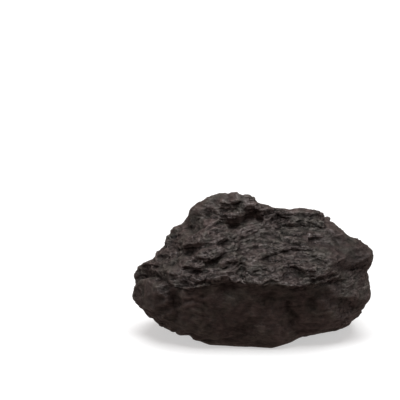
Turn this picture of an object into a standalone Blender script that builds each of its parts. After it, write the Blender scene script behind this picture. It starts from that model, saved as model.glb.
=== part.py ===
"""A lump of bedded coal: one solid piece, resting on a flat break.

The frame is in metres, with the origin on the table under the middle of the lump, +X along its
length, +Y to its back and +Z up. The sizes in this file are in millimetres.

The lump is a ball drawn out to the fracture planes that bound it. Swellings, hollows, ledges, cracks
and the edges of the coal's beds are raised on it, its outline is set, and its foot is cut off flat.
"""

import math

import bpy
import numpy as np
from mathutils import noise

MM = 0.001

LENGTH = 110.0
DEPTH = 76.0
HEIGHT = 66.0
HEART = np.array((0.0, 0.0, 32.0))  # the middle of the lump, from which its planes are measured

BALL_SUBDIVISIONS = 7
SOLID_TRIANGLES = 9400
EDGE_SHARPNESS = 11.0  # the higher, the crisper the edges between two fracture planes

# The fracture planes: which way each faces, and how far it lies from the heart.
FRACTURES = {
    "brow": ((0.00, -0.62, 0.78), 25.5),
    "right_slope": ((0.60, -0.35, 0.72), 38.0),
    "left_slope": ((-0.62, -0.25, 0.74), 35.5),
    "knob_top": ((-0.25, 0.10, 0.96), 36.5),
    "shoulder_top": ((0.30, 0.25, 0.92), 34.0),
    "front": ((0.00, -0.94, -0.34), 34.5),
    "front_left": ((-0.76, -0.62, -0.12), 48.0),
    "front_right": ((0.50, -0.82, -0.28), 43.0),
    "left_end": ((-1.00, -0.15, 0.10), 55.0),
    "right_end": ((0.80, -0.56, 0.20), 46.0),
    "right_tip": ((1.00, 0.00, -0.10), 56.0),
    "under_left": ((-0.50, -0.05, -0.86), 44.5),
    "under_right": ((0.27, 0.00, -0.96), 37.8),
    "foot": ((0.00, 0.00, -1.00), 36.5),
    "back_top": ((0.05, 0.62, 0.78), 34.0),
    "back": ((0.15, 1.00, 0.05), 40.0),
    "back_left": ((-0.72, 0.68, 0.15), 44.0),
    "back_right": ((0.75, 0.60, 0.25), 46.0),
    "back_under": ((0.00, 0.90, -0.44), 37.0),
}

# The front of the lump is laid out as it is seen from a little above: across, and up that view.
FRONT_ELEVATION = math.radians(15.0)
FRONT = np.array((0.0, -math.cos(FRONT_ELEVATION), math.sin(FRONT_ELEVATION)))
ACROSS = np.array((1.0, 0.0, 0.0))
VIEW_UP = np.array((0.0, math.sin(FRONT_ELEVATION), math.cos(FRONT_ELEVATION)))

# The outline of that view, clockwise from the knob. Up is measured from the table's middle.
FRONT_OUTLINE = (
    (-16.0, 65.5), (-11.0, 65.5), (-6.0, 65.0), (0.0, 63.0), (1.5, 60.6), (5.5, 60.2), (16.5, 58.0),
    (20.0, 58.6), (24.0, 58.7), (32.3, 56.7), (36.0, 53.0), (40.3, 49.4), (45.0, 45.8),
    (53.0, 41.8), (55.2, 39.0), (55.5, 36.0), (53.0, 30.0), (54.2, 19.5), (53.6, 16.5), (49.0, 9.0),
    (46.5, 7.5), (46.0, 6.0), (42.5, 4.0), (38.5, 2.5), (21.0, -0.5), (18.5, -2.5), (14.5, -4.0),
    (8.5, -5.5), (-19.0, -4.5), (-27.5, -1.8), (-28.5, 0.0), (-33.5, 0.0), (-42.5, 4.0),
    (-47.0, 7.5), (-55.0, 15.5), (-55.0, 19.0), (-54.5, 24.5), (-55.0, 28.0), (-54.5, 30.5),
    (-48.5, 34.0), (-44.5, 37.0), (-43.3, 39.5), (-40.8, 41.0), (-40.3, 44.0), (-38.0, 49.5),
    (-32.5, 51.0), (-31.5, 54.5), (-29.3, 58.5), (-25.6, 60.6), (-22.8, 63.0), (-19.0, 64.3),
)  # fmt: skip

# The masses that the lump is built of, in space: middle, radius, and how far it stands out.
MASSES = {
    "knob": ((-13.0, 3.0, 62.0), 17.0, 6.0),
    "shoulder": ((24.0, 4.0, 58.0), 15.0, 3.5),
    "saddle": ((8.0, 2.0, 62.0), 9.0, -3.0),
    "back_shelf": ((-20.0, 34.0, 26.0), 20.0, 3.0),
    "back_hollow": ((14.0, 36.0, 40.0), 14.0, -2.5),
}

# Swellings and hollows of the front: middle, half width, half height, and how far it stands out.
SWELLINGS = {
    "left_boss": ((-45.0, 16.0), 11.0, 12.0, 2.0),
    "boss_facet": ((-46.5, 18.0), 5.0, 5.5, -1.6),
    "boss_ridge": ((-39.5, 17.0), 2.6, 6.0, 0.8),
    "left_shelf": ((-20.0, 43.0), 10.0, 6.0, 2.6),
    "lower_shelf": ((-19.0, 37.0), 9.0, 4.0, 1.8),
    "saddle": ((12.0, 50.0), 10.0, 9.0, -2.0),
    "centre_swell": ((12.0, 42.0), 12.0, 4.0, 1.6),
    "right_swell": ((32.0, 34.0), 12.0, 5.0, 1.6),
    "under_knob": ((-9.0, 52.5), 6.5, 3.5, -1.6),
    "under_knob_right": ((-1.5, 55.2), 4.0, 3.0, -1.5),
    "right_pits": ((28.0, 43.0), 5.0, 3.0, -1.6),
    "brow_notch": ((-5.0, 29.0), 4.5, 6.0, -3.0),
    "brow_cave": ((17.0, 28.0), 7.0, 3.5, -2.4),
    "under_brow": ((-11.0, 20.5), 8.0, 5.0, -3.2),
    "right_waist": ((50.0, 27.0), 6.0, 4.0, -1.5),
}

# Ledges of the front: height, reach and route. A lip that runs left to right through its points
# stands out by its height over a recess below it, which runs out over its reach. A lip that runs
# right to left has its recess above it.
LEDGES = {
    "cap_lip": (4.0, 3.5, ((-18.5, 60.0), (-15.5, 60.3), (-10.5, 60.0), (-7.5, 60.8), (-5.0, 62.5))),
    "knob_skirt": (
        4.4,
        3.4,
        (
            (-19.0, 56.0), (-14.4, 54.8), (-10.8, 54.2), (-6.0, 54.4),
            (-3.8, 57.0), (1.8, 57.4), (4.2, 55.6), (5.3, 51.8),
        ),
    ),
    "shoulder_lip": (3.9, 3.5, ((22.5, 54.0), (27.0, 55.0), (33.0, 55.5))),
    "shoulder_skirt": (3.6, 4.0, ((14.5, 52.0), (19.0, 52.0), (24.5, 54.0))),
    "right_step": (2.6, 3.0, ((25.0, 48.5), (28.5, 49.5), (33.5, 50.5))),
    "right_pit_lip": (1.6, 2.8, ((22.5, 44.5), (27.5, 45.3), (33.0, 45.0))),
    "centre_lip": (2.0, 3.0, ((3.0, 35.0), (8.5, 37.0), (16.5, 39.5), (21.5, 39.0), (28.0, 38.5))),
    "upper_bow": (
        2.6,
        3.0,
        ((-36.0, 38.5), (-29.0, 39.5), (-22.0, 40.3), (-16.5, 40.6), (-13.5, 42.0), (-10.5, 44.5)),
    ),
    "lower_bow": (
        3.8,
        3.0,
        ((-29.0, 35.0), (-24.5, 33.6), (-20.5, 33.2), (-17.0, 34.2), (-14.3, 36.2), (-11.5, 38.5)),
    ),
    "left_notch_lip": (3.4, 4.0, ((-47.5, 35.0), (-44.0, 37.0), (-39.5, 35.5))),
    "patch_lip": (3.4, 3.0, ((-33.0, 28.5), (-29.0, 30.5), (-25.0, 30.0), (-21.5, 27.5))),
    "right_band": (1.8, 3.0, ((22.0, 24.5), (29.0, 27.5), (36.0, 29.5))),
    "right_corner_lip": (2.4, 4.0, ((43.5, 40.0), (47.5, 40.5), (52.0, 39.0))),
    "left_shelf_lip": (4.4, 3.2, ((-53.0, 31.0), (-47.5, 32.0), (-43.0, 32.5), (-38.5, 30.5))),
    "notch_lip": (3.1, 3.5, ((-16.0, 30.0), (-11.0, 33.0), (-7.0, 34.0), (-4.0, 35.5))),
    "boss_rim": (
        3.0,
        2.4,
        ((-36.5, 12.0), (-37.5, 18.0), (-40.5, 23.4), (-45.5, 26.2), (-50.5, 25.4), (-53.5, 20.0)),
    ),
    "cave_lip": (3.2, 4.5, ((11.0, 29.5), (16.0, 31.5), (19.0, 31.0), (24.0, 29.0))),
    "brow": (
        4.2,
        11.0,
        (
            (-40.0, 24.5), (-31.0, 21.5), (-26.5, 21.0), (-22.0, 23.0), (-12.5, 25.5), (-8.0, 26.0),
            (-4.5, 24.0), (-0.5, 23.0), (4.0, 22.5), (8.0, 25.0), (16.5, 22.0), (22.0, 22.0),
            (30.0, 24.5), (38.0, 27.5),
        ),
    ),
}

# Half the width over which a lip falls to its recess.
CRISP_EDGE = 0.5
ROUNDED_EDGES = {"brow": 1.7, "cave_lip": 0.9}

# Cracks of the front: depth, half width and route.
CRACKS = {
    "notch_crack": (2.4, 1.6, ((-4.5, 37.0), (-5.5, 31.0), (-4.5, 24.5))),
    "boss_crack": (
        2.0,
        1.6,
        ((-54.5, 24.0), (-50.0, 27.4), (-44.0, 27.6), (-37.0, 23.8), (-31.0, 19.5)),
    ),
    "boss_side": (1.0, 1.6, ((-35.5, 22.0), (-34.0, 16.0), (-34.5, 10.0), (-37.0, 4.0))),
    "knob_flank": (2.0, 2.2, ((-19.7, 60.5), (-24.3, 55.4), (-30.0, 50.5))),
    "front_crack": (1.0, 1.6, ((15.5, 16.5), (16.5, 11.0), (20.0, 7.0), (17.5, 1.5))),
    "front_hollow": (0.9, 2.5, ((7.0, 21.0), (8.5, 17.0), (10.5, 13.0))),
    "front_right_hollow": (1.0, 2.5, ((29.0, 17.5), (26.0, 15.0), (24.5, 11.5))),
}

# The beds of the coal lie nearly level, and their broken edges show all round the lump.
BEDDING_UP = np.array((0.03, -0.12, 0.99))
BED_DIP = 0.34  # how steeply the beds bend down at the left end
BED_BEND = (-6.0, 12.0)  # where they bend, and over how much of the length
BED_THICKNESS = 5.5
BED_WARP = 4.0
BED_RIPPLE = 2.2
BED_STEP = 2.2  # how far one bed's edge stands out past the next, at most
BED_LIP = 1.3  # how far the bottom edge of a bed stands out past its own top edge

# The steps that the beds make on the slopes: their height, their warp, and how far they are drawn.
TERRACE = 4.6
TERRACE_WARP = 3.5
TERRACE_SHARE = 0.75

# The rolling unevenness of every face: wavelength and height.
ROLLS = ((42.0, 2.4), (19.0, 1.7), (10.0, 1.5))

# Shallow chips broken off all round: how many, the seed of their places, and the least and most of
# how far each one reaches, its depth as a share of that, and its lean as a share of that slope.
CHIPS = 170
CHIP_SEED = 4
CHIP_REACH = (5.0, 13.0)
CHIP_DEPTH = (0.07, 0.17)
CHIP_LEAN = (0.5, 2.6)

CALM_FRONT = 0.45  # the share of the roughness that the low front has

COAL_COLOUR = (0.030, 0.025, 0.024, 1.0)
COAL_ROUGHNESS = 0.55


def smoothstep(low, high, values):
    share = np.clip((values - low) / (high - low), 0.0, 1.0)
    return share * share * (3.0 - 2.0 * share)


def noise_at(points, wavelength, seed):
    """Smooth noise from about -1 to 1, one value for each point."""
    shifted = points / wavelength + np.array((seed * 7.31, seed * -3.77, seed * 5.93))
    return np.array([noise.noise(point) for point in shifted.tolist()])


def drawn_to_fractures(directions):
    """The points where rays from the heart meet the fracture planes, with the edges rounded."""
    crowding = np.zeros(len(directions))
    for facing, distance in FRACTURES.values():
        normal = np.array(facing) / np.linalg.norm(facing)
        crowding += np.maximum(directions @ normal / distance, 0.0) ** EDGE_SHARPNESS
    return directions * (crowding ** (-1.0 / EDGE_SHARPNESS))[:, None]


def front_view(points):
    """Where points lie in the view of the front: across, and up the view."""
    return np.stack((points @ ACROSS, points @ VIEW_UP), axis=1)


def beside_route(seen, route):
    """For each point of the front view: its distance from a route, positive above it, and how far
    along the route its nearest point lies, with the route's length."""
    nearest = np.full(len(seen), np.inf)
    side = np.zeros(len(seen))
    along = np.zeros(len(seen))
    walked = 0.0
    for start, end in zip(route, route[1:]):
        start = np.array(start)
        run = np.array(end) - start
        length = np.hypot(*run)
        offset = seen - start
        share = np.clip(offset @ run / length**2, 0.0, 1.0)
        distance = np.linalg.norm(offset - share[:, None] * run, axis=1)
        closer = distance < nearest
        above = np.sign(run[0] * offset[:, 1] - run[1] * offset[:, 0])
        side[closer] = above[closer]
        along[closer] = walked + share[closer] * length
        nearest[closer] = distance[closer]
        walked += length
    return nearest * side, along, walked


def masses_relief(points):
    relief = np.zeros(len(points))
    for middle, radius, height in MASSES.values():
        spread = ((points - np.array(middle)) ** 2).sum(axis=1) / radius**2
        relief += height * np.exp(-1.5 * spread)
    return relief


def swellings_relief(seen):
    relief = np.zeros(len(seen))
    for middle, half_width, half_height, height in SWELLINGS.values():
        spread = (seen - np.array(middle)) / np.array((half_width, half_height))
        relief += height * np.exp(-1.5 * (spread**2).sum(axis=1))
    return relief


def ledges_relief(seen):
    rise_share = 0.4  # the part of a ledge's height by which its lip stands out
    rise_reach = 7.0  # how far above the lip that dies away, at most
    taper = 4.0  # how far in from its ends a ledge reaches its full height
    relief = np.zeros(len(seen))
    for name, (height, reach, route) in LEDGES.items():
        edge = ROUNDED_EDGES.get(name, CRISP_EDGE)
        above, along, length = beside_route(seen, route)
        lip = smoothstep(-edge, edge, above)
        rise = rise_share * np.exp(-np.maximum(above, 0.0) / min(1.5 * reach, rise_reach))
        recess = (1.0 - rise_share) * np.exp(-(np.maximum(-above, 0.0) / reach) ** 1.5)
        ends = smoothstep(0.0, taper, along) * smoothstep(0.0, taper, length - along)
        relief += height * ends * (lip * rise - (1.0 - lip) * recess)
    return relief


def cracks_relief(seen):
    taper = 3.0
    relief = np.zeros(len(seen))
    for depth, half_width, route in CRACKS.values():
        beside, along, length = beside_route(seen, route)
        ends = smoothstep(0.0, taper, along) * smoothstep(0.0, taper, length - along)
        relief -= depth * ends * np.exp(-((beside / half_width) ** 2))
    return relief


def height_in_beds(points):
    """How far up through the beds each point lies. The beds bend down at the left end."""
    bend, width = BED_BEND
    left = bend - points @ ACROSS
    return points @ BEDDING_UP + BED_DIP * 0.5 * (np.hypot(left, width) + left)


def beds_relief(points):
    """Each bed's edge stands out by its own amount, and most at its bottom edge."""
    height = height_in_beds(points) + BED_WARP * noise_at(points, 30.0, 3)
    height += BED_RIPPLE * noise_at(points, 11.0, 4)
    level = height / BED_THICKNESS
    bed = np.floor(level)
    within = level - bed

    def edge_of(number):
        spot = points / 17.0 + number[:, None] * np.array((3.1, 7.7, 5.3))
        return np.array([noise.noise(p) for p in spot.tolist()])

    to_next = smoothstep(0.84, 1.0, within)
    step = edge_of(bed) * (1.0 - to_next) + edge_of(bed + 1.0) * to_next
    lip = (0.5 - within) * (1.0 - to_next) + 0.5 * to_next
    broken = smoothstep(-0.25, 0.35, noise_at(points, 22.0, 6))
    return broken * (BED_STEP * step + BED_LIP * lip)


def terraced(points, rough):
    """The points drawn together into treads with steep risers between them, bed by bed."""
    height = height_in_beds(points) + TERRACE_WARP * noise_at(points, 20.0, 7)
    height += 0.3 * TERRACE * noise_at(points, 9.0, 8)
    within = height / TERRACE - np.floor(height / TERRACE)
    middle_of_rise = 0.25
    risen = smoothstep(0.6, 1.0, within) - within + middle_of_rise
    share = TERRACE_SHARE * rough * smoothstep(-0.2, 0.4, noise_at(points, 18.0, 9))
    return points + (TERRACE * risen * share)[:, None] * BEDDING_UP


def rolls_relief(points):
    return sum(
        height * noise_at(points, wavelength, seed)
        for seed, (wavelength, height) in enumerate(ROLLS, start=11)
    )


def roughness_share(normals):
    """How rough each place is: the low front is calmer than the rest, and the underside is flat."""
    low_front = smoothstep(0.2, 0.7, normals @ FRONT) * smoothstep(0.15, -0.15, normals[:, 2])
    underside = smoothstep(-0.65, -0.9, normals[:, 2])
    return (1.0 - (1.0 - CALM_FRONT) * low_front) * (1.0 - underside)


def chipped(points, normals):
    """The points, with shallow hollow chips broken off wherever they stand out."""
    draw = np.random.default_rng(CHIP_SEED)
    rough = roughness_share(normals)
    for _ in range(CHIPS):
        centre = draw.integers(len(points))
        reach = draw.uniform(*CHIP_REACH)
        depth = reach * draw.uniform(*CHIP_DEPTH)
        lean = draw.uniform(*CHIP_LEAN) * depth / reach
        facing = normals[centre] + lean * draw.normal(size=3) / math.sqrt(3.0)
        facing /= np.linalg.norm(facing)
        offset = points - points[centre]
        floor = depth * (1.0 - (offset**2).sum(axis=1) / reach**2)
        excess = np.maximum(offset @ facing + floor, 0.0)
        facing_it = smoothstep(0.0, 0.5, normals @ facing)
        points = points - (excess * facing_it * rough)[:, None] * facing
    return points


def placed_relief(points, normals):
    """The swellings, ledges and cracks of the front, which fade out where it turns away."""
    seen = front_view(points)
    in_front = smoothstep(-0.1, 0.3, normals @ FRONT)
    return in_front * (swellings_relief(seen) + ledges_relief(seen) + cracks_relief(seen))


def outline_radius(angles):
    """How far the front's outline lies from the heart, in each direction of the front view."""
    middle = front_view(HEART[None, :])[0]
    corners = np.array(FRONT_OUTLINE) - middle
    starts, runs = corners, np.roll(corners, -1, axis=0) - corners
    found = []
    for angle in angles:
        ray = np.array((math.cos(angle), math.sin(angle)))
        cross = ray[0] * runs[:, 1] - ray[1] * runs[:, 0]
        cross = np.where(np.abs(cross) < 1e-9, 1e-9, cross)
        distance = (starts[:, 0] * runs[:, 1] - starts[:, 1] * runs[:, 0]) / cross
        share = (starts[:, 0] * ray[1] - starts[:, 1] * ray[0]) / cross
        found.append(distance[(share >= 0.0) & (share <= 1.0) & (distance > 0.0)].max())
    return np.array(found)


def set_to_outline(points, normals):
    """Draws the points in or out across the front view until the lump fills its outline there."""
    sectors = 180
    middle = front_view(HEART[None, :])[0]
    across = front_view(points) - middle
    reach = np.hypot(across[:, 0], across[:, 1])
    angle = np.arctan2(across[:, 1], across[:, 0])
    sector = np.floor((angle + math.pi) / (2.0 * math.pi) * sectors).astype(int) % sectors
    widest = np.zeros(sectors)
    np.maximum.at(widest, sector, reach)
    centres = (np.arange(sectors) + 0.5) / sectors * 2.0 * math.pi - math.pi
    ratio = outline_radius(centres) / widest
    rounded = sum(np.roll(ratio, shift) for shift in range(-8, 9)) / 17.0
    at_rim = smoothstep(-0.45, -0.05, normals @ FRONT)
    sharp = np.interp(angle, centres, ratio, period=2.0 * math.pi)
    blunt = np.interp(angle, centres, rounded, period=2.0 * math.pi)
    rim = np.interp(angle, centres, widest, period=2.0 * math.pi)
    wanted = sharp * at_rim + blunt * (1.0 - at_rim)
    drawn = 1.0 + (wanted - 1.0) * smoothstep(0.30, 0.95, reach / rim)
    moved = across * (drawn - 1.0)[:, None]
    return points + moved[:, :1] * ACROSS + moved[:, 1:] * VIEW_UP


def coordinates_of(mesh):
    flat = np.empty(len(mesh.vertices) * 3, np.float32)
    mesh.vertices.foreach_get("co", flat)
    return flat.reshape(-1, 3).astype(float)


def normals_of(mesh):
    flat = np.empty(len(mesh.vertices) * 3, np.float32)
    mesh.vertex_normals.foreach_get("vector", flat)
    return flat.reshape(-1, 3).astype(float)


def set_coordinates(mesh, points):
    mesh.vertices.foreach_set("co", points.astype(np.float32).ravel())
    mesh.update()


def coal_material():
    material = bpy.data.materials.new("coal")
    material.use_nodes = True
    shader = material.node_tree.nodes["Principled BSDF"]
    shader.inputs["Base Color"].default_value = COAL_COLOUR
    shader.inputs["Roughness"].default_value = COAL_ROUGHNESS
    shader.inputs["Metallic"].default_value = 0.0
    return material


def make_lump(collection):
    """The whole lump, still in millimetres while its surface is worked out."""
    bpy.ops.mesh.primitive_ico_sphere_add(subdivisions=BALL_SUBDIVISIONS, radius=1.0)
    lump = bpy.context.object
    lump.name = lump.data.name = "coal_lump"
    for other in lump.users_collection:
        other.objects.unlink(lump)
    collection.objects.link(lump)

    ball = coordinates_of(lump.data) * np.array((LENGTH, DEPTH, HEIGHT)) / 2.0
    directions = ball / np.linalg.norm(ball, axis=1)[:, None]
    points = HEART + drawn_to_fractures(directions)
    set_coordinates(lump.data, points)
    normals = normals_of(lump.data)
    rolling = masses_relief(points) + rolls_relief(points)
    points = chipped(points + normals * rolling[:, None], normals)
    bedded = beds_relief(points) * roughness_share(normals)
    points = points + normals * (bedded + placed_relief(points, normals))[:, None]
    points = terraced(points, roughness_share(normals))
    set_coordinates(lump.data, set_to_outline(points, normals) * MM)

    lump.data.materials.append(coal_material())
    fewer = lump.modifiers.new("fewer_triangles", "DECIMATE")
    fewer.ratio = SOLID_TRIANGLES / len(lump.data.polygons)
    return lump


def cut_foot(lump, cutters):
    """Cuts the lump off flat at the table."""
    bpy.ops.mesh.primitive_cube_add(size=1.0)
    table = bpy.context.object
    table.name = "table_cutter"
    for other in table.users_collection:
        other.objects.unlink(table)
    cutters.objects.link(table)
    thickness = 30.0 * MM
    table.scale = (2.0 * LENGTH * MM, 2.0 * DEPTH * MM, thickness)
    table.location = (0.0, 0.0, -thickness / 2.0)
    table.hide_render = True
    table.display_type = "WIRE"
    cut = lump.modifiers.new("flat_foot", "BOOLEAN")
    cut.operation = "DIFFERENCE"
    cut.solver = "EXACT"
    cut.object = table


def main():
    for old in list(bpy.data.objects):
        bpy.data.objects.remove(old, do_unlink=True)
    coal = bpy.data.collections.new("coal_lump")
    cutters = bpy.data.collections.new("cutters")
    for collection in (coal, cutters):
        bpy.context.scene.collection.children.link(collection)
    lump = make_lump(coal)
    cut_foot(lump, cutters)


main()
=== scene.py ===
"""The looks of the coal lump: its fine broken surface, its finish, and the studio it stands in.

The solid gives the lump's shape and size. Here its surface is made again as a fine, even mesh, and
the thin beds, small ledges, chips and pits of the coal are raised on it. Lengths are in millimetres
wherever the surface is worked out.
"""

import math

import bpy
import numpy as np
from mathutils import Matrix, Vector, kdtree, noise

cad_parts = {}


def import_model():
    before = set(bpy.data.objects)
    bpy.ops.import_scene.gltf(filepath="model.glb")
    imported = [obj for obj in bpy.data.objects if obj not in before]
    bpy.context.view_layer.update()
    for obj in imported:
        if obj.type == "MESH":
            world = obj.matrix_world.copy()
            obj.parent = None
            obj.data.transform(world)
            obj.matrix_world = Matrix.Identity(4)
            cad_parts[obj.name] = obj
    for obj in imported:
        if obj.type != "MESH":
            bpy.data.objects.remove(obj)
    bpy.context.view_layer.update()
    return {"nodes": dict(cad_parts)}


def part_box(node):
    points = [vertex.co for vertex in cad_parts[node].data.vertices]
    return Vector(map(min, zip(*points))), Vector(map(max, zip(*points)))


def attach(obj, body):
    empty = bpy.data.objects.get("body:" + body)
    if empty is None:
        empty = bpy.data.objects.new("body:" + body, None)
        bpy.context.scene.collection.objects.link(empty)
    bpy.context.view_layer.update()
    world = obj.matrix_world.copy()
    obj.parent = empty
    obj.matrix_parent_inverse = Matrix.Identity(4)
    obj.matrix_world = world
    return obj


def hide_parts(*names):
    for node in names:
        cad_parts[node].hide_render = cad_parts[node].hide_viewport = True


MM = 0.001
NODE = "coal_lump"
PIECE = "coal_surface"

# The view: the camera looks down on the lump's heart, which sits right of and below the centre.
IMAGE_PIXELS = 400.0
HEART_PIXEL = (253.5, 267.6)
LUMP_WIDTH_PIXELS = 240.0
HEART_HEIGHT = 32.0 * MM
VIEW_ELEVATION = math.radians(15.0)
VIEW_DISTANCE = 0.90
SENSOR = 36.0
CLIPPING = (0.01, 50.0)

# The fine mesh: its grid before relief is raised on it, how often the solid's facets are smoothed,
# how many triangles it ends with, and the share of them that is kept where the front hides it.
WELD_DISTANCE = 0.01 * MM
FINE_GRID = 0.36 * MM
FACET_SMOOTHING = 10
FINE_TRIANGLES = 198000
HIDDEN_SHARE = 0.35

# The heights over the table between which the relief sets in, so that the foot stays flat.
FOOT_FADE = (0.3, 3.0)

# The front is laid out as it is seen by the camera: across, and up that view.
FRONT = np.array((0.0, -math.cos(VIEW_ELEVATION), math.sin(VIEW_ELEVATION)))
VIEW_UP = np.array((0.0, math.sin(VIEW_ELEVATION), math.cos(VIEW_ELEVATION)))

# The beds: the way up through them, and how they dip to the left of a bend, with how steeply, where
# and over what width.
BEDDING_UP = np.array((0.03, -0.12, 0.99))
BED_DIP = 0.20
BED_BEND = (-6.0, 12.0)

# The plates that the beds break into, coarse to fine: length, thickness, how much a plate's face
# leans and how far it stands out, both as usual amounts, and the width of its edge in plates.
PLATES = (
    (9.0, 3.0, 0.05, 0.20, 0.08),
    (4.6, 1.8, 0.07, 0.12, 0.10),
)
PLATE_SEEDS = (61, 71)

# Plates are warped, with a height in plate thicknesses and a wavelength in plate lengths. Their sides
# are ragged, with a height in plates and a wavelength in plate lengths. The middle of a plate lies
# anywhere in this part of its cell.
PLATE_WARP = (0.9, 3.5)
PLATE_RAGGED = (0.22, 0.5)
PLATE_MIDDLES = (0.05, 0.95)

# The steps that the beds make, coarse to fine: thickness, wavelength and height of their warp, the
# length of one step, how far its tread is drawn level, and how far its lip stands out.
BEDS = (
    (3.4, 16.0, 1.6, 11.0, 0.65, 0.60),
    (1.8, 9.0, 0.8, 7.0, 0.85, 0.50),
    (1.0, 6.0, 0.4, 4.5, 0.90, 0.34),
)
BED_SEEDS = (5, 9, 13)

# One step, in bed thicknesses: the height and wavelength of its ragged line, the width of its riser,
# and how far its lip and the recess under it reach. On upright faces only a share of the lip is left.
STEP_RAGGED = (0.30, 2.4)
RISER_WIDTH = 0.11
LIP_REACH = 0.30
RECESS_REACH = 0.20
UPRIGHT_LIP = 0.35

# How each bed draws its steps from a place of its own, so that no two beds have the same steps.
STEP_SHIFT = np.array((3.1, 7.7, 5.3))

# Faint swells under it all: height, wavelength and seed.
SWELLS = (
    (0.30, 5.0, 81),
    (0.12, 2.2, 82),
)

# The relief comes and goes in patches of this size, with at least this share of it left.
PATCH_SIZE = 10.0
PATCH_LEAST = 0.50
PATCH_SEED = 95

# The brow of the front: the line, across and up the view, under which the front is undercut.
BROW = (
    (-56.0, 25.0), (-48.0, 27.0), (-40.0, 24.5), (-31.0, 21.0), (-26.5, 20.5), (-22.0, 23.0),
    (-12.5, 25.0), (-8.0, 25.5), (-4.5, 23.5), (4.0, 22.0), (8.0, 24.5), (16.5, 21.5),
    (22.0, 21.0), (33.0, 24.0), (43.0, 26.0), (60.0, 27.0),
)  # fmt: skip

# The recess under the brow is eased by a fill: how thick, how far down it reaches and how soft its
# upper edge is. It fades in and out between the places given for the left and the right end.
BROW_FILL = 0.6
BROW_FILL_REACH = 3.0
BROW_FILL_EDGE = 0.66
BROW_FILL_ENDS = ((-41.0, -37.0), (42.0, 36.0))

# The low front under the brow is dark and smooth: where it begins and ends, and how smooth it is.
LOW_FRONT_ENDS = ((-39.0, -35.0), (43.0, 36.0))
LOW_FRONT_SMOOTHNESS = 0.85

# How much smoother the coal is at the rim that makes the outline.
RIM_SMOOTHNESS = 0.55

# Where the front is smoother: middle, half width and half height in the view, and by how much.
SMOOTH_PLACES = (
    ((42.0, 41.0), (13.0, 8.0), 0.75),
    ((-12.0, 64.0), (9.0, 4.0), 0.92),
    ((-23.0, 58.0), (6.0, 6.0), 0.55),
    ((-1.0, 60.0), (5.0, 2.5), 0.75),
    ((-4.0, 54.0), (9.0, 3.5), 0.60),
    ((-19.5, 44.5), (8.0, 4.0), 0.30),
    ((-45.0, 15.0), (12.0, 13.0), 0.90),
    ((47.0, 16.0), (9.0, 14.0), 0.75),
)

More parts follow.
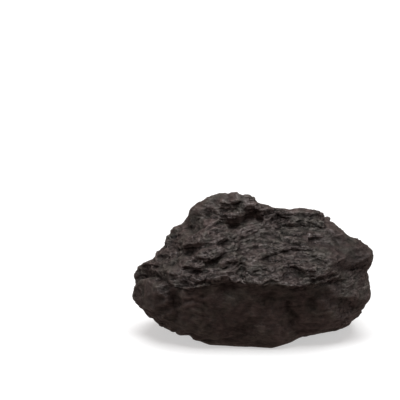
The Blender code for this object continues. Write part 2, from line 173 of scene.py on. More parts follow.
# The small ledges that stand out on the front: how far each lip stands over its recess, and its
# route from left to right, across and up the view. The lip has a share of that height, the edge
# between the two has a width, the recess has a reach, and each ledge dies out over its last part.
LIP_SHARE = 0.35
LEDGE_EDGE = 0.22
LEDGE_REACH = 1.1
LEDGE_TAPER = 2.0
SMALL_LEDGES = (
    (1.2, ((-16.5, 60.4), (-12.0, 60.0), (-8.0, 60.3), (-5.2, 61.2))),
    (0.8, ((-16.5, 58.6), (-12.5, 57.6), (-9.5, 58.4))),
    (1.0, ((-4.0, 57.0), (-2.0, 57.4), (1.8, 57.4), (4.0, 56.0))),
    (0.8, ((-18.0, 56.0), (-14.4, 54.8), (-10.8, 54.2), (-6.0, 54.4))),
    (0.5, ((-27.0, 52.6), (-22.5, 53.8), (-19.0, 53.0))),
    (0.5, ((-33.0, 48.8), (-28.0, 50.0), (-24.0, 49.0), (-19.0, 49.6))),
    (0.5, ((-17.0, 50.0), (-12.0, 49.4), (-7.0, 50.2))),
    (0.5, ((-38.0, 45.0), (-33.0, 46.0), (-29.0, 45.2))),
    (0.5, ((-26.0, 45.4), (-22.0, 45.8), (-19.0, 45.2))),
    (0.4, ((-24.0, 43.4), (-19.0, 43.1), (-15.0, 44.2))),
    (0.6, ((-40.0, 41.5), (-35.0, 42.4), (-31.0, 41.6))),
    (0.9, ((-35.0, 38.8), (-29.0, 39.7), (-22.0, 40.4), (-16.6, 40.8), (-13.6, 42.0), (-11.0, 44.2))),
    (0.6, ((-33.7, 36.7), (-30.0, 37.3), (-26.5, 36.6))),
    (0.5, ((-33.0, 35.0), (-28.5, 35.4))),
    (1.1, ((-28.5, 35.0), (-24.5, 33.7), (-20.5, 33.3), (-17.0, 34.3), (-14.3, 36.3), (-11.5, 38.5))),
    (0.7, ((-45.5, 35.8), (-42.0, 36.8), (-39.5, 35.8))),
    (0.9, ((-52.0, 31.4), (-47.0, 32.2), (-42.0, 31.6))),
    (0.6, ((-43.0, 29.0), (-38.5, 28.2), (-34.0, 27.0))),
    (0.9, ((-29.0, 28.8), (-25.0, 30.3), (-21.5, 29.0))),
    (0.9, ((-14.5, 30.2), (-10.0, 32.2), (-6.0, 34.0))),
    (0.7, ((-16.0, 27.5), (-12.0, 29.0), (-8.5, 29.0))),
    (0.4, ((-6.0, 47.0), (-1.0, 47.6), (4.0, 46.8))),
    (0.4, ((3.0, 44.8), (8.0, 45.8), (13.0, 45.2))),
    (0.4, ((-5.0, 42.6), (1.0, 43.8), (6.0, 43.4))),
    (0.4, ((10.0, 42.8), (16.0, 43.4), (20.0, 42.6))),
    (0.5, ((-8.0, 39.4), (-2.0, 40.4), (3.0, 41.0))),
    (0.7, ((3.0, 35.2), (8.5, 37.0), (16.5, 39.5), (21.5, 39.1), (28.0, 38.6))),
    (0.6, ((-1.5, 33.5), (4.0, 35.0), (9.0, 35.2))),
    (0.6, ((1.0, 31.2), (7.0, 32.8), (13.0, 34.6), (17.0, 35.6))),
    (0.6, ((-1.0, 29.4), (5.0, 30.4), (11.0, 32.2))),
    (0.5, ((3.0, 27.2), (8.0, 28.8), (11.5, 30.2))),
    (0.9, ((11.0, 29.6), (16.0, 31.6), (19.0, 31.0), (24.0, 29.0))),
    (0.6, ((18.0, 37.0), (24.0, 36.2), (29.5, 36.8))),
    (0.6, ((19.0, 34.4), (25.0, 34.3), (31.5, 35.6))),
    (0.5, ((21.0, 32.2), (28.0, 32.6), (34.5, 34.4))),
    (0.5, ((26.0, 30.0), (31.0, 31.0), (37.0, 33.0))),
    (0.5, ((24.0, 27.4), (31.0, 28.8), (37.0, 31.0))),
    (1.0, ((24.6, 54.6), (28.0, 55.4), (32.5, 55.0))),
    (0.8, ((18.0, 52.4), (21.5, 52.8), (24.8, 51.8))),
    (0.6, ((26.5, 49.2), (29.5, 50.0), (33.0, 49.6))),
    (0.35, ((24.0, 44.2), (28.0, 44.8), (32.0, 44.2))),
    (0.5, ((16.0, 47.4), (20.0, 48.4), (23.0, 47.6))),
    (0.4, ((40.0, 44.0), (43.0, 44.6), (46.0, 43.8))),
)

# Painted light and shade: places of the front painted paler, as light on the knob's cap and in its
# shaded recesses, or darker (below 0), as shade under the brow, in the notch and on the right slope:
# middle, half width and half height, and by how much. The underside is painted darker too, as
# painted shade.
PAINTED_LIGHT_AND_SHADE_PLACES = (
    ((-11.5, 62.8), (6.5, 2.4), 0.12),
    ((-2.5, 60.0), (4.0, 2.0), 0.12),
    ((-14.0, 58.0), (3.0, 1.2), 0.30),
    ((-9.5, 56.6), (3.0, 1.0), 0.30),
    ((-5.0, 53.6), (9.0, 2.6), 0.45),
    ((-10.5, 50.6), (4.0, 2.2), 0.50),
    ((20.0, 57.0), (8.0, 1.6), 0.20),
    ((10.5, 54.0), (3.0, 6.0), -0.42),
    ((41.0, 41.0), (14.0, 9.0), -0.32),
    ((51.0, 38.0), (7.0, 8.0), -0.20),
    ((-45.0, 15.0), (10.0, 12.0), -0.22),
    ((0.0, 8.0), (34.0, 14.0), -0.08),
    ((18.0, 18.5), (16.0, 6.0), -0.22),
    ((33.0, 18.0), (7.0, 6.0), -0.20),
    ((-10.0, 17.5), (8.0, 4.0), -0.14),
)
UNDERSIDE_PAINTED_SHADE = -0.35

# Where the coal is crumbly and pitted, in the same form, with how deep and how far apart the pits
# are.
PIT_DEPTH = 0.9
PIT_SPACING = 1.6
PIT_SEED = 91
CRUMBLY_PLACES = (
    ((10.5, 54.0), (3.5, 6.0), 1.0),
    ((16.0, 33.0), (6.0, 3.0), 0.4),
    ((45.0, 16.0), (7.0, 10.0), 0.25),
    ((-3.5, 31.0), (3.0, 5.0), 0.3),
)

# Faint hollows of the low front: depth, half width and route.
FRONT_HOLLOWS = (
    (0.35, 0.9, ((-30.0, 18.4), (-25.0, 19.4), (-20.0, 17.8))),
    (0.45, 0.9, ((-31.5, 15.6), (-26.8, 16.5), (-22.2, 15.1), (-18.6, 12.4))),
    (0.40, 0.9, ((-30.5, 12.4), (-25.4, 13.3), (-20.9, 11.5))),
    (0.30, 0.9, ((-29.0, 9.4), (-24.5, 10.2), (-20.5, 8.6))),
    (0.40, 1.6, ((5.5, 20.2), (5.0, 16.0), (6.5, 11.0))),
    (0.15, 1.2, ((13.5, 16.5), (15.5, 12.5), (19.5, 9.5), (20.4, 4.6))),
    (0.30, 1.6, ((17.5, 19.0), (16.0, 16.0), (17.0, 12.5))),
    (0.60, 2.4, ((25.0, 18.5), (27.5, 15.0), (26.0, 11.0))),
    (0.40, 2.0, ((33.0, 16.0), (36.0, 13.0))),
    (0.30, 2.5, ((-8.0, 15.0), (-4.0, 16.0), (0.0, 13.0))),
    (0.30, 2.0, ((-14.0, 4.0), (-6.0, 3.0), (2.0, 4.5))),
)

# How the routes of ledges and hollows wander up and down: height, wavelength and seed.
ROUTE_WANDER = (
    (0.45, 3.2, 71),
    (0.25, 1.4, 72),
)

# Over how many neighbours the surface is smoothed to find its small hollows and its large ones, where
# shade is painted in, and to find the large shape alone, and how much each point keeps of its own
# place in each round.
FINE_SPREAD = 6
BROAD_SPREAD = 60
SHAPE_SPREAD = 40
KEPT_SHARE = 0.3

# The colour of the coal, in two kinds of patches, and its tint here and there. A scale says how many
# times a pattern repeats in a metre, about.
DARK_COAL = (0.037, 0.0268, 0.0246, 1.0)
PALE_COAL = (0.0525, 0.0385, 0.0360, 1.0)
PATCH_SCALE = 70.0
COAL_TINT = (0.043, 0.0385, 0.0325, 1.0)
TINT_SCALE = 130.0

# The finest flakes, in the finish: their thickness for their length, how they are turned, how far
# they wander from their beds, and how far they stand out.
FLAKE_SCALE = 400.0
FLAKE_THICKNESS = 0.34
FLAKE_TURN = (math.radians(7.0), math.radians(6.0), 0.0)
FLAKE_WANDER = 3.0 * MM
FLAKE_WANDER_SCALE = 160.0
FLAKE_HEIGHT = 0.46 * MM

# The partings between flakes, with the shade in their cracks painted dark: how wide they are, for the
# flakes' own pattern, and where they break off. Then the grain: how far it stands out, for the
# flakes.
PARTING_WIDTH = 0.050
PARTING_BREAK_SCALE = 420.0
GRAIN_SCALE = 700.0
GRAIN_HEIGHT = 0.4

# Painted light and shade, and the grain: what each quality of the surface does to the coal's colour
# and shine, from its low end to its high end, and the least and the most that they do together. The
# flakes, partings and hollows paint shade and highlights; the grain is the coal's own tone.
FLAKE_PAINTED_LIGHT_AND_SHADE = (0.40, 1.62)
GRAIN_SHADE = (0.74, 1.27)
PARTING_PAINTED_SHADE = (1.0, 0.34)
FINE_HOLLOW_PAINTED_SHADE_AND_HIGHLIGHT = (0.56, 1.46)
BROAD_HOLLOW_PAINTED_SHADE_AND_HIGHLIGHT = (0.68, 1.15)
LIMITS_OF_PAINTED_LIGHT_AND_GRAIN = (0.38, 1.95)

# The finish: how rough the smoothest places count, how much light shines off, and how dull that is.
LEAST_ROUGH = 0.30
SHINE = 0.49
DULLNESS = (0.40, 0.60)
DULLNESS_SCALE = 260.0

# The studio: the light from all around, the broad lights with their direction, strength and spread
# in degrees, and the floor.
SKY_COLOUR = (1.0, 0.75, 0.67, 1.0)
SKY_STRENGTH = 0.25
LIGHTS = (
    ("key", (0.05, -0.22, 1.0), 2.98, 45.0),
    ("left_fill", (-1.0, -0.10, 0.22), 0.36, 40.0),
    ("right_fill", (1.0, 0.05, 0.30), 0.40, 40.0),
)
FLOOR_SIZE = 6.0
FLOOR_COLOUR = (0.60, 0.62, 0.63, 1.0)
FLOOR_GLOW = 0.50


def smoothstep(low, high, values):
    share = np.clip((values - low) / (high - low), 0.0, 1.0)
    return share * share * (3.0 - 2.0 * share)


def noise_at(points, wavelength, seed):
    """Smooth noise from about -1 to 1, one value for each point."""
    shifted = points / wavelength + np.array((seed * 7.31, seed * -3.77, seed * 5.93))
    return np.array([noise.noise(point) for point in shifted.tolist()])


def coordinates_of(mesh):
    flat = np.empty(len(mesh.vertices) * 3, np.float32)
    mesh.vertices.foreach_get("co", flat)
    return flat.reshape(-1, 3).astype(float)


def normals_of(mesh):
    flat = np.empty(len(mesh.vertices) * 3, np.float32)
    mesh.vertex_normals.foreach_get("vector", flat)
    return flat.reshape(-1, 3).astype(float)


def edges_of(mesh):
    flat = np.empty(len(mesh.edges) * 2, np.int32)
    mesh.edges.foreach_get("vertices", flat)
    return flat.reshape(-1, 2)


def set_coordinates(mesh, points):
    mesh.vertices.foreach_set("co", points.astype(np.float32).ravel())
    mesh.update()


def with_modifiers(mesh, add_modifiers):
    """A new mesh: the given one after the modifiers that add_modifiers puts on its object."""
    carrier = bpy.data.objects.new("carrier", mesh)
    bpy.context.scene.collection.objects.link(carrier)
    add_modifiers(carrier)
    graph = bpy.context.evaluated_depsgraph_get()
    changed = bpy.data.meshes.new_from_object(carrier.evaluated_get(graph))
    bpy.data.objects.remove(carrier)
    bpy.data.meshes.remove(mesh)
    return changed


def even_mesh_of(node):
    """An even, dense mesh over the solid, with the solid's own facets smoothed away."""

    def even(carrier):
        weld = carrier.modifiers.new("weld", "WELD")
        weld.merge_threshold = WELD_DISTANCE
        grid = carrier.modifiers.new("grid", "REMESH")
        grid.mode = "VOXEL"
        grid.voxel_size = FINE_GRID
        soften = carrier.modifiers.new("soften", "SMOOTH")
        soften.factor = 0.5
        soften.iterations = FACET_SMOOTHING

    return with_modifiers(node.data.copy(), even)


def thinned(mesh):
    """The same surface in fewer triangles, kept where it bends most and where the front shows it."""
    hidden = smoothstep(0.0, -0.25, normals_of(mesh) @ FRONT)
    triangles = 2 * len(mesh.polygons)
    kept = 1.0 - (1.0 - HIDDEN_SHARE) * float(hidden.mean())

    def thin(carrier):
        unseen = carrier.vertex_groups.new(name="unseen")
        for index, share in enumerate(hidden):
            unseen.add((index,), float(share), "REPLACE")
        coarser = carrier.modifiers.new("coarser_behind", "DECIMATE")
        coarser.ratio = kept
        coarser.vertex_group = "unseen"
        fewer = carrier.modifiers.new("fewer", "DECIMATE")
        fewer.ratio = min(1.0, FINE_TRIANGLES / (triangles * kept))

    return with_modifiers(mesh, thin)


def view_of(points):
    """Where the camera sees each point: across, and up the view."""
    return np.stack((points[:, 0], points @ VIEW_UP), axis=1)


def facing_front(normals, fully=0.3):
    """How far each place faces the camera, from 0 to 1."""
    return smoothstep(0.0, fully, normals @ FRONT)


def between(ends, across):
    """From 0 to 1 at the left end of a stretch, and back to 0 at its right end."""
    left, right = ends
    return smoothstep(*left, across) * smoothstep(*right, across)


def height_in_beds(points):
    """How far up through the beds each point lies. The beds bend down towards the left end."""
    bend, width = BED_BEND
    left = bend - points[:, 0]
    return points @ BEDDING_UP + BED_DIP * 0.5 * (np.hypot(left, width) + left)


def plates_relief(points, plate_kind, seed):
    """Broken plates: each piece of a bed has a flat face with its own lean and its own height."""
    length, thickness, lean, step, edge = plate_kind
    draw = np.random.default_rng(seed)
    warp, warp_length = PLATE_WARP
    up = height_in_beds(points) + warp * thickness * noise_at(points, warp_length * length, seed)
    flat = np.stack((points[:, 0] / length, points[:, 1] / length, up / thickness), axis=1)
    ragged, ragged_length = PLATE_RAGGED
    aside = [noise_at(points, ragged_length * length, seed + k) for k in (1, 2, 3)]
    flat = flat + ragged * np.stack(aside, axis=1)
    cells = np.unique(np.floor(flat).astype(int), axis=0)
    middles = cells + draw.uniform(*PLATE_MIDDLES, cells.shape)
    leans = draw.normal(0.0, lean, middles.shape)
    steps = draw.normal(0.0, step, len(middles))
    tree = kdtree.KDTree(len(middles))
    for index, middle in enumerate(middles.tolist()):
        tree.insert(middle, index)
    tree.balance()
    found = [tree.find_n(point, 2) for point in flat.tolist()]
    nearest = np.array([[near[1] for near in pair] for pair in found])
    distance = np.array([[near[2] for near in pair] for pair in found])
    heights = [((flat - middles[n]) * leans[n]).sum(axis=1) * length + steps[n] for n in nearest.T]
    inside = smoothstep(-edge, edge, distance[:, 1] - distance[:, 0])
    return heights[0] * inside + heights[1] * (1.0 - inside)


def stepped(points, normals, bed_kind, calm, seed):
    """The points drawn into treads and risers, bed by bed, each with a lip over a recess. Every step
    runs for a while along its bed and dies out."""
    thickness, warp_length, warp_height, length, level_share, lip = bed_kind
    height = height_in_beds(points) + warp_height * noise_at(points, warp_length, seed)
    ragged, ragged_length = STEP_RAGGED
    height += ragged * thickness * noise_at(points, ragged_length * thickness, seed + 1)
    step = np.floor(height / thickness + 0.5)
    above = height - step * thickness
    spot = points + (step * length)[:, None] * STEP_SHIFT
    strength = calm * smoothstep(-0.15, 0.25, noise_at(spot, length, seed + 2))
    side = np.tanh(above / (RISER_WIDTH * thickness))
    jump = thickness * (0.5 * side - above / thickness)
    top = 0.5 * (1.0 + side) * np.exp(-np.abs(above) / (LIP_REACH * thickness))
    foot = 0.5 * (1.0 - side) * np.exp(-np.abs(above) / (RECESS_REACH * thickness))
    sloping = smoothstep(0.0, 0.5, normals[:, 2])
    drawn = (strength * level_share * sloping * jump)[:, None] * BEDDING_UP
    lip = lip * (UPRIGHT_LIP + (1.0 - UPRIGHT_LIP) * sloping)
    return points + drawn + (strength * lip * (0.5 * top - foot))[:, None] * normals


def low_front_of(points, normals):
    """How far each place belongs to the dark, smooth front under the brow, from 0 to 1."""
    across, up = view_of(points).T
    under = smoothstep(0.6, -0.6, up - np.interp(across, *np.transpose(BROW)))
    return under * between(LOW_FRONT_ENDS, across) * facing_front(normals, 0.4)


def beside_route(seen, route):
    """For each point of the view: its distance from a route, positive above it, and how far along
    the route its nearest point lies, with the route's length."""
    nearest = np.full(len(seen), np.inf)
    side = np.zeros(len(seen))
    along = np.zeros(len(seen))
    walked = 0.0
    for start, end in zip(route, route[1:]):
        start = np.array(start)
        run = np.array(end) - start
        length = np.hypot(*run)
        offset = seen - start
        share = np.clip(offset @ run / length**2, 0.0, 1.0)
        distance = np.linalg.norm(offset - share[:, None] * run, axis=1)
        closer = distance < nearest
        side[closer] = np.sign(run[0] * offset[:, 1] - run[1] * offset[:, 0])[closer]
        along[closer] = walked + share[closer] * length
        nearest[closer] = distance[closer]
        walked += length
    return nearest * side, along, walked


def tapered(along, length):
    """From 1 along a route down to 0 at both of its ends."""
    return smoothstep(0.0, LEDGE_TAPER, along) * smoothstep(0.0, LEDGE_TAPER, length - along)


def placed_relief(points, normals):
    """The small ledges and hollows of the front, ragged along their routes, and the brow's fill."""
    seen = view_of(points)
    wander = [height * noise_at(points, length, seed) for height, length, seed in ROUTE_WANDER]
    seen[:, 1] += sum(wander)
    relief = np.zeros(len(points))
    for height, route in SMALL_LEDGES:
        above, along, length = beside_route(seen, route)
        lip = 0.5 * (1.0 + np.tanh(above / LEDGE_EDGE))
        rise = LIP_SHARE * lip * np.exp(-np.abs(above) / (2.0 * LEDGE_REACH))
        recess = (1.0 - LIP_SHARE) * (1.0 - lip) * np.exp(-((above / LEDGE_REACH) ** 2))
        relief += height * tapered(along, length) * (rise - recess)
    for depth, half_width, route in FRONT_HOLLOWS:
        beside, along, length = beside_route(seen, route)
        relief -= depth * tapered(along, length) * np.exp(-((beside / half_width) ** 2))
    above = seen[:, 1] - np.interp(seen[:, 0], *np.transpose(BROW))
    lip = 0.5 * (1.0 + np.tanh(above / BROW_FILL_EDGE))
    fill = BROW_FILL * (1.0 - lip) * np.exp(-((above / BROW_FILL_REACH) ** 2))
    relief += between(BROW_FILL_ENDS, seen[:, 0]) * fill
    return relief * facing_front(normals)


def share_of_places(points, normals, places):
    """How far each point belongs to some places of the front, each by its own amount."""
    seen = view_of(points)
    outside = np.ones(len(points))
    for middle, half, amount in places:
        spread = (((seen - np.array(middle)) / np.array(half)) ** 2).sum(axis=1)
        outside *= 1.0 - amount * np.exp(-spread)
    return (1.0 - outside) * facing_front(normals)


def calm_of(points, normals):
    """How much of the broken relief each place has: least on the low front, less at the rim that
    makes the outline, and less on the smoother places."""
    patches = smoothstep(-0.25, 0.30, noise_at(points, PATCH_SIZE, PATCH_SEED))
    calm = PATCH_LEAST + (1.0 - PATCH_LEAST) * patches
    calm *= 1.0 - LOW_FRONT_SMOOTHNESS * low_front_of(points, normals)
    calm *= 1.0 - RIM_SMOOTHNESS * smoothstep(0.40, 0.10, np.abs(normals @ FRONT))
    return calm * (1.0 - share_of_places(points, normals, SMOOTH_PLACES))


def roughened(points, normals):
    """The points of the fine mesh, moved to make the broken surface of the coal."""
    calm = calm_of(points, normals)
    relief = np.zeros(len(points))
    for plate_kind, seed in zip(PLATES, PLATE_SEEDS):
        relief += plates_relief(points, plate_kind, seed)
    relief *= calm
    for height, wavelength, seed in SWELLS:
        relief += height * noise_at(points, wavelength, seed)
    moved = points + normals * relief[:, None]
    for bed_kind, seed in zip(BEDS, BED_SEEDS):
        moved = stepped(moved, normals, bed_kind, calm, seed)
    pits = smoothstep(0.0, 0.35, noise_at(points, PIT_SPACING, PIT_SEED))
    pits *= share_of_places(points, normals, CRUMBLY_PLACES)
    return moved + normals * (placed_relief(moved, normals) - PIT_DEPTH * pits)[:, None]


def sums_around(edges, values):
    """For each point, the sum of its neighbours' values, which have one row for each point."""
    start, end = edges[:, 0], edges[:, 1]
    number = len(values)
    sums = [
        np.bincount(start, values[end, k], number) + np.bincount(end, values[start, k], number)
        for k in range(3)
    ]
    return np.stack(sums, axis=1)


def openness_of(edges, points, normals, spread):
    """How far each point stands out (above 0) or lies in (below 0) of its surroundings."""
    count = np.bincount(edges.ravel(), minlength=len(points))
    smooth = points.copy()
    for _ in range(spread):
        around = (1.0 - KEPT_SHARE) * sums_around(edges, smooth) / count[:, None]
        smooth = KEPT_SHARE * smooth + around
    return ((points - smooth) * normals).sum(axis=1)


def normals_softened(edges, normals, spread):
    """The normals, spread over their neighbours so that only the large shape is left in them."""
    soft = normals.copy()
    for _ in range(spread):
        soft = sums_around(edges, soft)
        soft /= np.linalg.norm(soft, axis=1)[:, None]
    return soft


def add_attribute(mesh, name, values):
    attribute = mesh.attributes.new(name, "FLOAT", "POINT")
    attribute.data.foreach_set("value", values.astype(np.float32))


def add_qualities(mesh):
    """Keeps in the mesh what the finish needs to know of each place: its hollows and ridges and its
    paler and darker places, for painted light and shade, and how rough it is.
    """
    points = coordinates_of(mesh) / MM
    normals = normals_of(mesh)
    edges = edges_of(mesh)
    # The small and large hollows and ridges, where the finish paints shade and highlights.
    add_attribute(mesh, "hollow_fine", openness_of(edges, points, normals, FINE_SPREAD))
    add_attribute(mesh, "hollow_broad", openness_of(edges, points, normals, BROAD_SPREAD))
    soft_normals = normals_softened(edges, normals, SHAPE_SPREAD)
    # Painted light and shade: places of the front painted paler or darker.
    painted_light_and_shade = share_of_places(points, soft_normals, PAINTED_LIGHT_AND_SHADE_PLACES)
    # Painted shade: the underside is painted darker, as the shade where it meets the floor.
    painted_light_and_shade += UNDERSIDE_PAINTED_SHADE * smoothstep(-0.40, -0.85, soft_normals[:, 2])
    add_attribute(mesh, "painted_light_and_shade", painted_light_and_shade)
    add_attribute(mesh, "rough", calm_of(points, soft_normals))


def make_surface(node):
    """The surface of the coal, made from the solid's node, with its relief and its finish."""
    mesh = even_mesh_of(node)
    points = coordinates_of(mesh) / MM
    above_foot = smoothstep(*FOOT_FADE, points[:, 2])
    points = points + (roughened(points, normals_of(mesh)) - points) * above_foot[:, None]
    points[:, 2] = np.maximum(points[:, 2], 0.0)
    set_coordinates(mesh, points * MM)
    mesh = thinned(mesh)
    mesh.name = PIECE
    add_qualities(mesh)
    mesh.shade_smooth()
    mesh.materials.clear()
    mesh.materials.append(coal_material())
    surface = bpy.data.objects.new(PIECE, mesh)
    bpy.context.scene.collection.objects.link(surface)
    return surface


class Nodes:
    """Adds nodes to one material and links them."""

    def __init__(self, tree):
        self.tree = tree

    def add(self, kind, **settings):
        node = self.tree.nodes.new(kind)
        for name, value in settings.items():
            setattr(node, name, value)
        return node

    def link(self, output, socket):
        self.tree.links.new(output, socket)

    def put(self, value, socket):
        """Links another node's output to the socket, or sets the number or vector in it."""
        if isinstance(value, bpy.types.NodeSocket):
            self.link(value, socket)
        else:
            socket.default_value = value

    def noise(self, place, scale, detail, roughness=0.55, output="Fac"):
        node = self.add("ShaderNodeTexNoise")
        node.inputs["Scale"].default_value = scale
        node.inputs["Detail"].default_value = detail
        node.inputs["Roughness"].default_value = roughness
        self.link(place, node.inputs["Vector"])
        return node.outputs[output]

    def attribute(self, name):
        return self.add("ShaderNodeAttribute", attribute_name=name).outputs["Fac"]

    def vector(self, operation, first, second):
        node = self.add("ShaderNodeVectorMath", operation=operation)
        self.put(first, node.inputs[0])
        self.put(second, node.inputs[1])
        return node.outputs["Vector"]

    def scaled(self, vector, share):
        """A vector or a colour, times one number."""
        node = self.add("ShaderNodeVectorMath", operation="SCALE")
        self.link(vector, node.inputs[0])
        self.put(share, node.inputs["Scale"])
        return node.outputs["Vector"]

    def math(self, operation, first, second=0.0):
        node = self.add("ShaderNodeMath", operation=operation)
        self.put(first, node.inputs[0])
        self.put(second, node.inputs[1])
        return node.outputs["Value"]

    def ramp(self, value, low, high, to_low=0.0, to_high=1.0):
        """From to_low to to_high while the value goes from low to high, and no further."""
        node = self.add("ShaderNodeMapRange")
        node.inputs["From Min"].default_value = low
        node.inputs["From Max"].default_value = high
        node.inputs["To Min"].default_value = to_low
        node.inputs["To Max"].default_value = to_high
        self.link(value, node.inputs["Value"])
        return node.outputs["Result"]

    def mix(self, share, first, second):
        """The first colour where the share is 0, and the second where it is 1."""
        node = self.add("ShaderNodeMix", data_type="RGBA")
        sockets = {socket.identifier: socket for socket in node.inputs}
        self.put(share, sockets["Factor_Float"])
        self.put(first, sockets["A_Color"])
        self.put(second, sockets["B_Color"])
        return next(socket for socket in node.outputs if socket.identifier == "Result_Color")


def flakes_of(nodes, place):
    """Heights of the finest flakes, 0 to 1, and the partings between them, 0 to 1, which the finish
    paints dark as the shade in their cracks.
    """
    wander = nodes.noise(place, FLAKE_WANDER_SCALE, 2.0, output="Color")
    wander = nodes.scaled(nodes.vector("SUBTRACT", wander, (0.5, 0.5, 0.5)), FLAKE_WANDER)
    flat = nodes.add("ShaderNodeMapping", vector_type="TEXTURE")
    flat.inputs["Rotation"].default_value = FLAKE_TURN
    flat.inputs["Scale"].default_value = (1.0, 1.0, FLAKE_THICKNESS)
    nodes.link(nodes.vector("ADD", place, wander), flat.inputs["Vector"])
    flakes = nodes.noise(flat.outputs["Vector"], FLAKE_SCALE, 3.0, 0.70)
    height = nodes.ramp(flakes, 0.34, 0.66)
    from_middle = nodes.math("ABSOLUTE", nodes.math("SUBTRACT", flakes, 0.5))
    line = nodes.ramp(from_middle, 0.0, PARTING_WIDTH, 1.0, 0.0)
    broken = nodes.ramp(nodes.noise(place, PARTING_BREAK_SCALE, 2.0), 0.44, 0.58)
    return height, nodes.math("MULTIPLY", line, broken)


def coal_material():
    """Coal: dark brown black, with fine flakes and partings that change its height a little. The
    shade and highlights of the flakes, partings and hollows, and of paler and darker places, are
    painted into its colour and shine. The smoother a place is, the fainter the flakes and partings
    are."""
    material = bpy.data.materials.new("coal")
    material.use_nodes = True
    shader = material.node_tree.nodes["Principled BSDF"]
    nodes = Nodes(material.node_tree)
    place = nodes.add("ShaderNodeTexCoord").outputs["Object"]
    rough = nodes.ramp(nodes.attribute("rough"), 0.0, 1.0, LEAST_ROUGH, 1.0)
    height, parting = flakes_of(nodes, place)
    parting = nodes.math("MULTIPLY", parting, rough)
    flaked = nodes.math("MULTIPLY", nodes.math("SUBTRACT", height, 0.5), rough)
    grain = nodes.noise(place, GRAIN_SCALE, 3.0, 0.6)
    grained = nodes.math("MULTIPLY", nodes.math("SUBTRACT", grain, 0.5), rough)

    # Painted light and shade: the flakes' heights paint shade into low flakes and highlights onto
    # high ones.
    painted_light_and_grain = nodes.ramp(flaked, -0.5, 0.5, *FLAKE_PAINTED_LIGHT_AND_SHADE)
    for share in (
        nodes.ramp(grained, -0.15, 0.15, *GRAIN_SHADE),
        # Painted shade: the partings are painted dark, as the shade in their cracks.
        nodes.ramp(parting, 0.0, 1.0, *PARTING_PAINTED_SHADE),
        # Painted shade and highlights: hollows are painted darker, and ridges and bumps paler.
        nodes.ramp(nodes.attribute("hollow_fine"), -0.18, 0.18, *FINE_HOLLOW_PAINTED_SHADE_AND_HIGHLIGHT),
        nodes.ramp(nodes.attribute("hollow_broad"), -1.2, 0.6, *BROAD_HOLLOW_PAINTED_SHADE_AND_HIGHLIGHT),
        # Painted light and shade: places painted paler or darker, and the underside painted darker.
        nodes.ramp(nodes.attribute("painted_light_and_shade"), -1.0, 1.0, 0.0, 2.0),
    ):
        painted_light_and_grain = nodes.math("MULTIPLY", painted_light_and_grain, share)
    least, most = LIMITS_OF_PAINTED_LIGHT_AND_GRAIN
    painted_light_and_grain = nodes.math("MINIMUM", nodes.math("MAXIMUM", painted_light_and_grain, least), most)
    patches = nodes.ramp(nodes.noise(place, PATCH_SCALE, 3.0), 0.40, 0.62)
    tinted = nodes.ramp(nodes.noise(place, TINT_SCALE, 3.0), 0.44, 0.60)
    colour = nodes.mix(tinted, nodes.mix(patches, DARK_COAL, PALE_COAL), COAL_TINT)
    # The colour is scaled by the painted light and shade and by the grain.
    nodes.link(nodes.scaled(colour, painted_light_and_grain), shader.inputs["Base Color"])
    # The shine follows the same painted light and shade: less in hollows, partings and darker places.
    nodes.link(nodes.math("MULTIPLY", painted_light_and_grain, SHINE), shader.inputs["Specular IOR Level"])
    dullness = nodes.ramp(nodes.noise(place, DULLNESS_SCALE, 3.0), 0.35, 0.68, *DULLNESS)
    nodes.link(dullness, shader.inputs["Roughness"])

    relief = nodes.math("SUBTRACT", flaked, parting)
    relief = nodes.math("ADD", relief, nodes.math("MULTIPLY", grained, GRAIN_HEIGHT))
    bump = nodes.add("ShaderNodeBump")
    bump.inputs["Strength"].default_value = 1.0
    bump.inputs["Distance"].default_value = FLAKE_HEIGHT
    nodes.link(relief, bump.inputs["Height"])
    nodes.link(bump.outputs["Normal"], shader.inputs["Normal"])
    return material


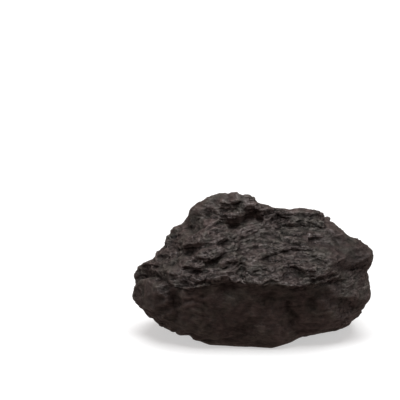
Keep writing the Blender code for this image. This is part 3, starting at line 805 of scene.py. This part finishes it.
def make_camera(heart, width):
    """The camera looks at the point that puts the heart at its pixel."""
    pixel = width / LUMP_WIDTH_PIXELS
    forward = Vector((0.0, math.cos(VIEW_ELEVATION), -math.sin(VIEW_ELEVATION)))
    right = Vector((1.0, 0.0, 0.0))
    aside = (HEART_PIXEL[0] - IMAGE_PIXELS / 2.0) * pixel
    below = (HEART_PIXEL[1] - IMAGE_PIXELS / 2.0) * pixel
    target = heart - right * aside + Vector(VIEW_UP) * below
    camera_data = bpy.data.cameras.new("camera")
    camera_data.sensor_width = SENSOR
    camera_data.lens = SENSOR * VIEW_DISTANCE / (IMAGE_PIXELS * pixel)
    camera_data.clip_start, camera_data.clip_end = CLIPPING
    camera = bpy.data.objects.new("camera", camera_data)
    bpy.context.scene.collection.objects.link(camera)
    camera.location = heart - forward * VIEW_DISTANCE
    camera.rotation_euler = (target - camera.location).to_track_quat("-Z", "Y").to_euler()
    bpy.context.scene.camera = camera


def soft_sun(name, towards, strength, spread):
    """A broad soft light that shines from one side of the studio, evenly over all of it."""
    data = bpy.data.lights.new(name, "SUN")
    data.energy = strength
    data.angle = math.radians(spread)
    light = bpy.data.objects.new(name, data)
    bpy.context.scene.collection.objects.link(light)
    light.rotation_euler = Vector(towards).to_track_quat("Z", "Y").to_euler()


def make_studio():
    world = bpy.data.worlds.new("studio")
    bpy.context.scene.world = world
    world.use_nodes = True
    background = world.node_tree.nodes["Background"]
    background.inputs["Color"].default_value = SKY_COLOUR
    background.inputs["Strength"].default_value = SKY_STRENGTH
    for name, towards, strength, spread in LIGHTS:
        soft_sun(name, towards, strength, spread)
    bpy.context.scene.view_settings.view_transform = "Standard"


def make_floor():
    """A pale floor that glows a little and throws no light of its own on the coal."""
    bpy.ops.mesh.primitive_plane_add(size=FLOOR_SIZE)
    floor = bpy.context.object
    floor.name = "floor"
    floor.visible_diffuse = False
    floor.visible_glossy = False
    pale = bpy.data.materials.new("pale_floor")
    pale.use_nodes = True
    shader = pale.node_tree.nodes["Principled BSDF"]
    shader.inputs["Base Color"].default_value = FLOOR_COLOUR
    shader.inputs["Emission Color"].default_value = (1.0, 1.0, 1.0, 1.0)
    shader.inputs["Emission Strength"].default_value = FLOOR_GLOW
    shader.inputs["Roughness"].default_value = 0.9
    shader.inputs["Specular IOR Level"].default_value = 0.0
    floor.data.materials.append(pale)


def main():
    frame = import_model()
    low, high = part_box(NODE)
    surface = make_surface(frame["nodes"][NODE])
    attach(surface, "root")
    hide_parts(NODE)
    make_camera(Vector((0.0, 0.0, HEART_HEIGHT)), high[0] - low[0])
    make_studio()
    make_floor()


main()
